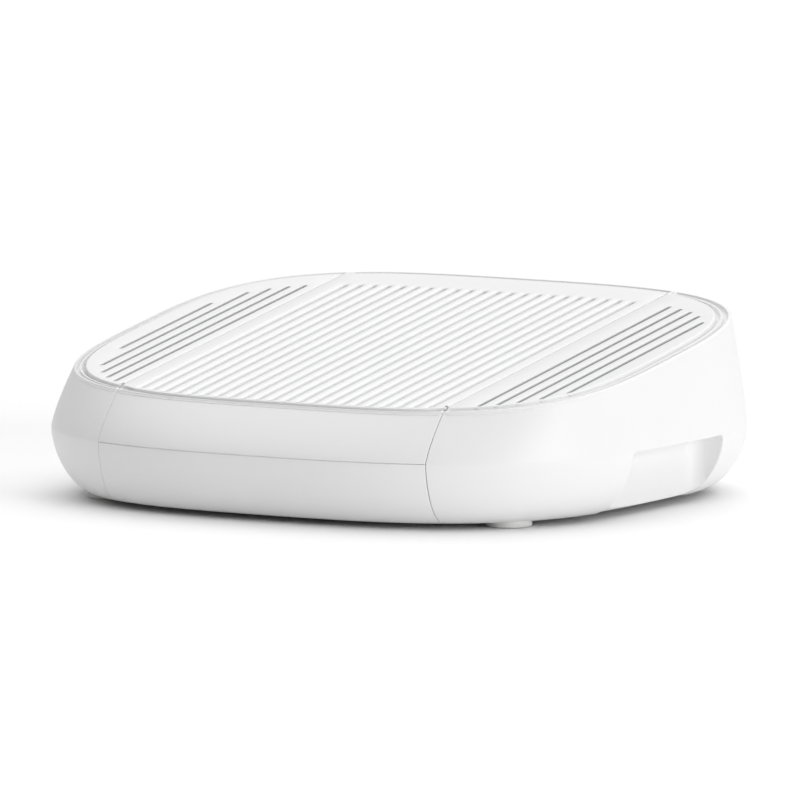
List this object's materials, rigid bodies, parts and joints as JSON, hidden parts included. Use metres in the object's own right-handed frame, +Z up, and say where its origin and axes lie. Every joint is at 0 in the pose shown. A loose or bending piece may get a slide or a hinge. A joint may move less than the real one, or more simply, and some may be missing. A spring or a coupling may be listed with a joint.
{
  "type": "litter box step",
  "caption": "Low ramped step with a ridged lift-off tread, slotted wings, side grip recesses and a pull-out tray that catches litter.",
  "frame": {"origin": "on the floor under the feet, at the middle of the body's outline", "axes": "-Y is the front with the tray, +X the right-hand side, +Z up"},
  "size_m": [0.4495, 0.4039, 0.1312],
  "materials": {
    "shell_plastic": "fine satin moulding grain",
    "inner_plastic": "plain moulded",
    "tray_plastic": "smooth satin",
    "runner_plastic": "smooth, low friction",
    "foot_rubber": "soft matt",
    "soft_rubber": "soft matt",
    "plated_steel": "zinc plated"
  },
  "bodies": {
    "housing": {"base_pan": "inner_plastic", "left_side_shell": "shell_plastic", "right_side_shell": "shell_plastic", "rear_panel": "shell_plastic", "left_rail": "inner_plastic", "right_rail": "inner_plastic", "front_beam": "inner_plastic", "left_litter_chute": "inner_plastic", "right_litter_chute": "inner_plastic", "left_tray_runner": "runner_plastic", "right_tray_runner": "runner_plastic", "tray_magnets": "plated_steel", "tread_pads": "soft_rubber", "front_left_foot": "foot_rubber", "front_right_foot": "foot_rubber", "rear_left_foot": "foot_rubber", "rear_right_foot": "foot_rubber", "corner_screws": "plated_steel", "panel_screws": "plated_steel", "rail_screws": "plated_steel", "beam_screws": "plated_steel"},
    "tread": {"tread_cover": "shell_plastic", "tread_pegs": "inner_plastic"},
    "tray": {"litter_tray": "tray_plastic", "tray_front": "shell_plastic", "tray_strikers": "plated_steel", "tray_front_screws": "plated_steel"}
  },
  "joints": [
    {"name": "tray_slide", "type": "slide", "parent": "housing", "child": "tray", "axis": [0, -1, 0], "range_m": [0, 0.24]},
    {"name": "tread_lift", "type": "slide", "parent": "housing", "child": "tread", "axis": [0, 0, 1], "range_m": [0, 0.12]}
  ]
}
